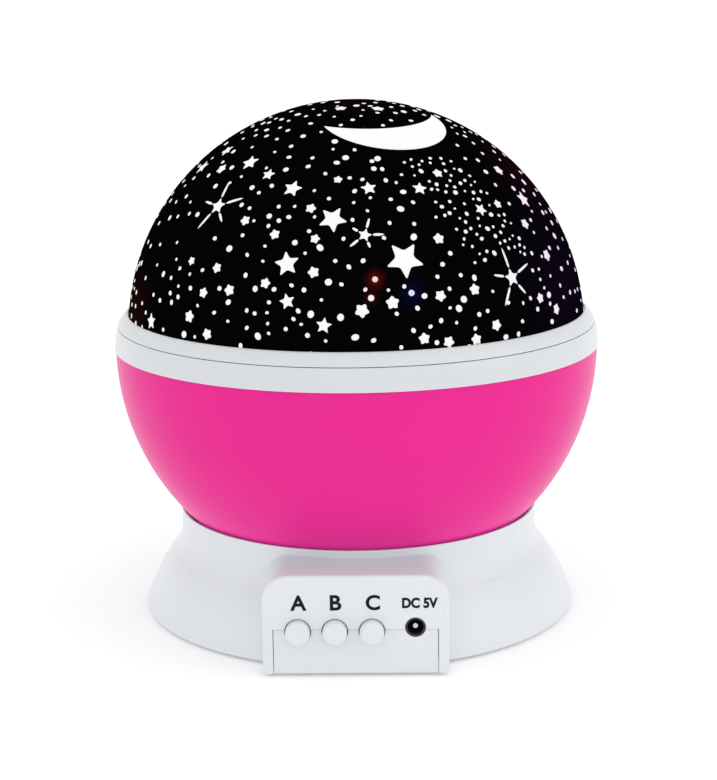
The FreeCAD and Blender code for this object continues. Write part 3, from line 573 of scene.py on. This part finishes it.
class NightLightStage(bpy.types.PropertyGroup):
    distance: bpy.props.FloatProperty(
        name="Camera distance", description="From the camera to its target", unit="LENGTH",
        default=510.8 * MM)
    elevation: bpy.props.FloatProperty(
        name="Camera elevation", description="Camera's angle above the level", subtype="ANGLE",
        default=math.radians(12.906))
    azimuth: bpy.props.FloatProperty(
        name="Camera azimuth", description="Camera's turn round the object", subtype="ANGLE",
        default=math.radians(1.0))
    roll: bpy.props.FloatProperty(
        name="Camera roll", description="Camera's turn about its own line", subtype="ANGLE",
        default=math.radians(-0.736))
    target_height: bpy.props.FloatProperty(
        name="Target height", description="Height of the camera's target", unit="LENGTH", default=57.5 * MM)
    target_side: bpy.props.FloatProperty(
        name="Target side", description="Sideways place of the camera's target", unit="LENGTH",
        default=0.37 * MM)
    lens: bpy.props.FloatProperty(
        name="Lens", description="Focal length in millimetres on a 36 mm long side", default=87.97)
    floor_size: bpy.props.FloatProperty(
        name="Floor size", description="Side of the plain floor", unit="LENGTH", default=60.0)
    world_light: bpy.props.FloatProperty(
        name="Room light", description="Strength of the even white light", default=1.0)
    left_light: bpy.props.FloatProperty(
        name="Left light", description="Power of the large left panel in watts", default=0.3)
    right_light: bpy.props.FloatProperty(
        name="Right light", description="Power of the large right panel in watts", default=1.8)
    front_light: bpy.props.FloatProperty(
        name="Front light", description="Power of the front panel in watts", default=0.5)
    top_light: bpy.props.FloatProperty(
        name="Top light", description="Power of the large top panel in watts", default=1.2)


# Operators, one for each piece or group of like pieces


class NIGHTLIGHT_OT_shells(bpy.types.Operator):
    """Finish the white shells, the bowl and the buttons as moulded plastic"""
    bl_idname = "nightlight.shells"
    bl_label = "Moulded shells"

    def execute(self, context):
        s = context.scene.night_light
        white = tuple(s.white_colour)
        pink = tuple(s.pink_colour)
        dress(moulded("white_moulding", near(white, 0.98), white, (0.3, 0.315), Coat_Weight=0.15,
                      Coat_Roughness=0.2),
              "base_shell", "bottom_plate", "battery_door")
        # Painted shade: the rim ring and collar take the white plastic darkened by about an eighth, a shaded
        # copy of the base's material.
        dress(moulded("ring_white_painted_shade", near(white, 0.86), near(white, 0.88), (0.3, 0.315), Coat_Weight=0.15,
                      Coat_Roughness=0.2), "rim_ring", "dome_collar")
        dress(moulded("button_white", near(white, 0.98), white, (0.36, 0.375)),
              "button_a", "button_b", "button_c")
        bowl = moulded("pink_moulding", near(pink, 0.97), pink, (0.32, 0.34), Specular_IOR_Level=0.12)
        soften_bounce(bowl, s.bounce_colour)
        # Painted light on the bowl's lower part, in place of light thrown up from the white base.
        paint_bowl_uplight(bowl, s.painted_uplight_colour)
        dress(bowl, "bowl")
        return {"FINISHED"}


class NIGHTLIGHT_OT_dome(bpy.types.Operator):
    """Finish the dark dome and the milky dome behind it"""
    bl_idname = "nightlight.dome"
    bl_label = "Dome"

    def execute(self, context):
        s = context.scene.night_light
        dress(dark_dome(s), "star_dome")
        dress(star_light("milky_dome", s, s.star_strength), "light_dome")
        return {"FINISHED"}


class NIGHTLIGHT_OT_inner_parts(bpy.types.Operator):
    """Finish the parts inside the base and the ball"""
    bl_idname = "nightlight.inner_parts"
    bl_label = "Inner parts"

    def execute(self, context):
        dark = moulded("dark_moulding", (0.012, 0.012, 0.013), (0.02, 0.02, 0.022), (0.4, 0.5))
        dress(dark, "dc_jack_body", "switch_bodies", "reflector_deck", "chassis_plate", "led_post",
              "switch_plunger_a", "switch_plunger_b", "switch_plunger_c")
        dress(moulded("foot_rubber", (0.03, 0.03, 0.032), (0.05, 0.05, 0.052), (0.7, 0.85), grain=1500.0,
                      depth=0.06), "rubber_feet")
        dress(moulded("plated_steel", (0.52, 0.52, 0.53), (0.62, 0.62, 0.62), (0.22, 0.36), grain=3500.0,
                      Metallic=1.0),
              "base_screws", "chassis_screws", "motor_screws", "gear_screws", "battery_springs",
              "contact_plates", "post_clip", "motor_can", "motor_shaft", "dc_jack_pin")
        dress(moulded("natural_nylon", (0.72, 0.69, 0.6), (0.8, 0.77, 0.68), (0.38, 0.5)),
              "ball_gear", "drive_pinion", "gearbox", "hub_bush", "thrust_washer")
        dress(moulded("circuit_board", (0.01, 0.10, 0.045), (0.015, 0.14, 0.06), (0.3, 0.4), grain=700.0),
              "control_board", "led_board")
        dress(moulded("wire_sleeve", (0.42, 0.02, 0.02), (0.5, 0.03, 0.03), (0.4, 0.5)),
              "led_lead", "motor_lead", "battery_leads")
        dress(moulded("cell_sleeve", (0.06, 0.08, 0.12), (0.08, 0.11, 0.16), (0.25, 0.35)),
              *[f"battery_cell_{k}" for k in range(1, 5)])
        lenses = {"red": (0.9, 0.04, 0.02), "blue": (0.05, 0.1, 0.95), "green": (0.05, 0.8, 0.12),
                  "white": (0.95, 0.93, 0.85)}
        for colour, value in lenses.items():
            dress(lamp_lens("lens_" + colour, value), "led_" + colour)
        return {"FINISHED"}


class NIGHTLIGHT_OT_star_print(bpy.types.Operator):
    """Lay the stars and the crescent onto the dome"""
    bl_idname = "nightlight.star_print"
    bl_label = "Star print"

    def execute(self, context):
        s = context.scene.night_light
        ink = Print()
        lift = s.print_lift
        lap = s.window_lap
        taken = []
        star_waist = 0.46
        sparkle_waist = 0.40
        short_ray = 0.75
        speck_share = 0.92
        speck_bulge = 0.2
        least_bulged = 0.9
        for azimuth, elevation, radius, turn in WINDOW_STARS:
            outline = star_outline(radius * MM + 2 * lap, star_waist, 5, turn, soften=1)
            ink.patch(outline, azimuth, elevation, 4, lift)
            taken.append((azimuth, elevation, radius * MM))
        for azimuth, elevation, core, reach, turn in SPARKLES:
            ink.patch(star_outline(core * MM, sparkle_waist, 5, turn), azimuth, elevation, 3, lift)
            for k in range(5):
                length = reach * (1.0 if k % 2 == 0 else short_ray)
                ray = ray_outline(core * MM, length * MM, s.ray_width, math.radians(90 + turn + 72 * k))
                ink.patch(ray, azimuth, elevation, 1, lift, ray.mean(axis=0))
            taken.append((azimuth, elevation, reach * MM * 0.7))
        for k, (azimuth, elevation, radius) in enumerate(SMALL_STARS):
            bulge = speck_bulge if radius > least_bulged else 0.0
            outline = speck_outline(speck_share * radius * MM, bulge, 37.0 * k)
            ink.patch(outline, azimuth, elevation, 1, lift)
            taken.append((azimuth, elevation, radius * MM))
        self.moon(ink, lift, lap)
        for azimuth, elevation, radius, stretch in self.dots(s, taken):
            ink.patch(dot_outline(radius, stretch, azimuth + elevation), azimuth, elevation, 1, lift)
        light = star_light("star_light", s, s.star_strength)
        add_mesh("star_print", np.concatenate(ink.points), ink.faces, light, "dome")
        return {"FINISHED"}

    def moon(self, ink, lift, lap):
        """A ruled grid between the crescent's two arcs, with a wall down both sides."""
        far, near = crescent_lines(49, lap / MM)
        across = np.linspace(0, 1, 13)[:, None, None]
        flat = (far + (near - far) * across) * MM
        top = ink.onto(flat, *MOON_PLACE, lift)
        walls = ink.onto(np.stack([flat[0], flat[-1]]), *MOON_PLACE, -lift)
        grid = np.concatenate([walls[:1], top, walls[1:]])
        ink.add(grid, grid_faces(len(grid), far.shape[0], False).tolist())

    def dots(self, s, taken):
        """Seeded darts over the dome, kept where they stand clear of the stars and of each other.

        The first half of the darts falls only inside the dense streams. A dart's least distance to the
        others is short in a stream. Elsewhere it swings with a product of three slow waves, so that the
        dots gather in loose clusters, and it grows towards the sides.
        """
        rng = np.random.default_rng(s.seed)
        unit = np.array([directions(a, e)[2] for a, e, _ in taken])
        room = np.array([r for _, _, r in taken])
        kept, places = [], []
        for dart in range(s.darts):
            early = dart < s.darts / 2
            azimuth = rng.uniform(-180, 180)
            elevation = math.degrees(math.asin(rng.uniform(0.05, 0.995)))
            if early:
                azimuth = 180 * rng.integers(-1, 1) + rng.uniform(12, 62)
                elevation = rng.uniform(22, 55)
            size = s.dot_radius * rng.choice(DOT_SIZES, p=DOT_CHANCES)
            out = directions(azimuth, elevation)[2]
            if np.any(np.linalg.norm(unit - out, axis=1) * DOME_RADIUS < room + size + STAR_ROOM):
                continue
            if over_crescent(out):
                continue
            stream = in_stream(azimuth, elevation)
            if early and not stream:
                continue
            wave = math.sin(9 * out[0] + 1) * math.sin(8 * out[1]) * math.sin(11 * out[2] + 2)
            gap = s.stream_spacing * rng.uniform(0.8, 1.4)
            if not stream:
                sides = 1 + 0.45 * out[0] ** 2
                gap = s.dot_spacing * sides * (1 + 0.55 * wave) * rng.uniform(0.75, 1.3)
            if kept and np.any(np.linalg.norm(np.array(kept) - out, axis=1) * DOME_RADIUS < gap):
                continue
            kept.append(out)
            share = STREAM_DOT_SHARE if stream else 1.0
            places.append((azimuth, elevation, size * share, rng.uniform(1.0, 1.14)))
        return places


class NIGHTLIGHT_OT_lettering(bpy.types.Operator):
    """Print the letters over the buttons and the label over the power inlet"""
    bl_idname = "nightlight.lettering"
    bl_label = "Lettering"

    def execute(self, context):
        s = context.scene.night_light
        ink = moulded("printing_ink", (0.006, 0.006, 0.007), (0.01, 0.01, 0.012), (0.45, 0.55),
                       Specular_IOR_Level=0.1)
        letter_shift = 0.3 * MM
        label_shift = 1.1 * MM
        label_drop = 0.15 * MM
        label_width = 0.88
        label_weight = 1.6 * s.letter_weight
        for letter in "abc":
            low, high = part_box("button_" + letter)
            middle = (low[0] + high[0]) / 2 + letter_shift
            self.label("letter_" + letter, letter.upper(), middle, s.letter_line, s.letter_height, 1.0,
                       s.letter_weight, ink)
        low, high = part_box("dc_jack_body")
        middle = (low[0] + high[0]) / 2 + label_shift
        self.label("inlet_label", "DC 5V", middle, s.letter_line - label_drop, s.small_letter_height,
                   label_width, label_weight, ink)
        return {"FINISHED"}

    def label(self, name, words, x, z, height, widen, weight, ink):
        """Raised ink: flat letters in the panel's plane, a hair thick, centred on x and z."""
        curve = bpy.data.curves.new(name + "_outline", "FONT")
        curve.body = words
        curve.size = 1.0
        curve.offset = weight
        curve.extrude = 0.01
        curve.resolution_u = 6
        maker = bpy.data.objects.new(name + "_outline", curve)
        mesh = bpy.data.meshes.new_from_object(maker)
        bpy.data.objects.remove(maker)
        bpy.data.curves.remove(curve)
        points = np.empty(len(mesh.vertices) * 3)
        mesh.vertices.foreach_get("co", points)
        points = points.reshape(-1, 3)
        low, high = points.min(axis=0), points.max(axis=0)
        scale = height / (high[1] - low[1])
        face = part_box("base_shell")[0][1]
        flat = (points - (low + high) / 2) * scale
        placed = np.stack([x + flat[:, 0] * widen, face - flat[:, 2], z + flat[:, 1]], -1)
        mesh.vertices.foreach_set("co", placed.ravel())
        mesh.update()
        mesh.name = name
        piece = bpy.data.objects.new(name, mesh)
        bpy.context.scene.collection.objects.link(piece)
        mesh.materials.clear()
        mesh.materials.append(ink)
        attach(piece, "base")


class NIGHTLIGHT_OT_stage(bpy.types.Operator):
    """Set the plain floor, the soft studio light and the camera"""
    bl_idname = "nightlight.stage"
    bl_label = "Stage"

    def execute(self, context):
        s = context.scene.night_light_stage
        self.floor(s)
        self.world(context.scene, s)
        self.panel("left_panel", (-1.1, -0.5, 0.75), (0.9, 1.1), s.left_light)
        self.panel("right_panel", (1.1, -0.45, 0.75), (0.9, 1.1), s.right_light)
        self.panel("top_panel", (0.0, -0.2, 1.4), (1.6, 1.6), s.top_light)
        self.panel("front_panel", (0.0, -1.6, 0.5), (1.6, 0.9), s.front_light)
        self.camera(context.scene, s)
        return {"FINISHED"}

    def floor(self, s):
        """A flat square of 2 by 2 points in the plane z = 0."""
        half = s.floor_size / 2
        side = np.array([-half, half])
        x, y = np.meshgrid(side, side, indexing="ij")
        points = np.stack([x, y, np.zeros_like(x)], -1).reshape(-1, 3)
        mesh = bpy.data.meshes.new("floor")
        mesh.from_pydata([tuple(p) for p in points], [], [(0, 2, 3, 1)])
        floor = bpy.data.objects.new("floor", mesh)
        bpy.context.scene.collection.objects.link(floor)
        material, _, shader, _ = new_material("plain_floor")
        shader.inputs["Base Color"].default_value = (0.93, 0.93, 0.93, 1)
        shader.inputs["Roughness"].default_value = 0.9
        shader.inputs["Specular IOR Level"].default_value = 0.0
        shader.inputs["Emission Color"].default_value = (1, 1, 1, 1)
        shader.inputs["Emission Strength"].default_value = 0.14
        mesh.materials.append(material)

    def world(self, scene, s):
        """An even white room, shown with the plain view transform."""
        world = bpy.data.worlds.new("studio")
        world.use_nodes = True
        back = next(n for n in world.node_tree.nodes if n.type == "BACKGROUND")
        back.inputs["Color"].default_value = (1, 1, 1, 1)
        back.inputs["Strength"].default_value = s.world_light
        scene.world = world
        scene.view_settings.view_transform = "Standard"

    def panel(self, name, place, size, power):
        """A rectangular area light that faces the ball's middle."""
        light = bpy.data.lights.new(name, "AREA")
        light.shape = "RECTANGLE"
        light.size, light.size_y = size
        light.energy = power
        lamp = bpy.data.objects.new(name, light)
        lamp.location = place
        aim = Vector((0, 0, 0.07)) - Vector(place)
        lamp.rotation_euler = aim.to_track_quat("-Z", "Y").to_euler()
        bpy.context.scene.collection.objects.link(lamp)

    def camera(self, scene, s):
        """Looks at the target from the photograph's distance, angle and roll."""
        data = bpy.data.cameras.new("camera")
        data.lens = s.lens
        data.sensor_width = 36.0
        data.clip_end = 200.0
        target = Vector((s.target_side, 0, s.target_height))
        rise = math.sin(s.elevation) * s.distance
        eye = target + Vector((0, -math.cos(s.elevation) * s.distance, rise))
        forward = (target - eye).normalized()
        right = forward.cross(Vector((0, 0, 1))).normalized()
        up = right.cross(forward)
        c, r = math.cos(s.roll), math.sin(s.roll)
        right, up = c * right + r * up, c * up - r * right
        turn = Matrix((right, up, -forward)).transposed().to_4x4()
        camera = bpy.data.objects.new("camera", data)
        spin = Matrix.Rotation(s.azimuth, 4, "Z")
        camera.matrix_world = spin @ Matrix.Translation(eye) @ turn
        scene.collection.objects.link(camera)
        scene.camera = camera


class NIGHTLIGHT_PT_panel(bpy.types.Panel):
    """Lists the pieces of the night light"""
    bl_label = "Night Light"
    bl_idname = "NIGHTLIGHT_PT_panel"
    bl_space_type = "VIEW_3D"
    bl_region_type = "UI"
    bl_category = "Night Light"

    def draw(self, context):
        for operator in OPERATORS:
            self.layout.operator(operator.bl_idname)
        for settings in (context.scene.night_light, context.scene.night_light_stage):
            for name in settings.__annotations__:
                self.layout.prop(settings, name)


OPERATORS = (
    NIGHTLIGHT_OT_shells,
    NIGHTLIGHT_OT_dome,
    NIGHTLIGHT_OT_inner_parts,
    NIGHTLIGHT_OT_star_print,
    NIGHTLIGHT_OT_lettering,
    NIGHTLIGHT_OT_stage,
)
CLASSES = (NightLightSettings, NightLightStage, *OPERATORS, NIGHTLIGHT_PT_panel)


def register():
    for item in CLASSES:
        bpy.utils.register_class(item)
    bpy.types.Scene.night_light = bpy.props.PointerProperty(type=NightLightSettings)
    bpy.types.Scene.night_light_stage = bpy.props.PointerProperty(type=NightLightStage)


def unregister():
    del bpy.types.Scene.night_light_stage
    del bpy.types.Scene.night_light
    for item in reversed(CLASSES):
        bpy.utils.unregister_class(item)


def main():
    """Makes the whole scene."""
    register()
    bpy.ops.nightlight.shells()
    bpy.ops.nightlight.dome()
    bpy.ops.nightlight.inner_parts()
    bpy.ops.nightlight.star_print()
    bpy.ops.nightlight.lettering()
    bpy.ops.nightlight.stage()


if __name__ == "__main__":
    main()
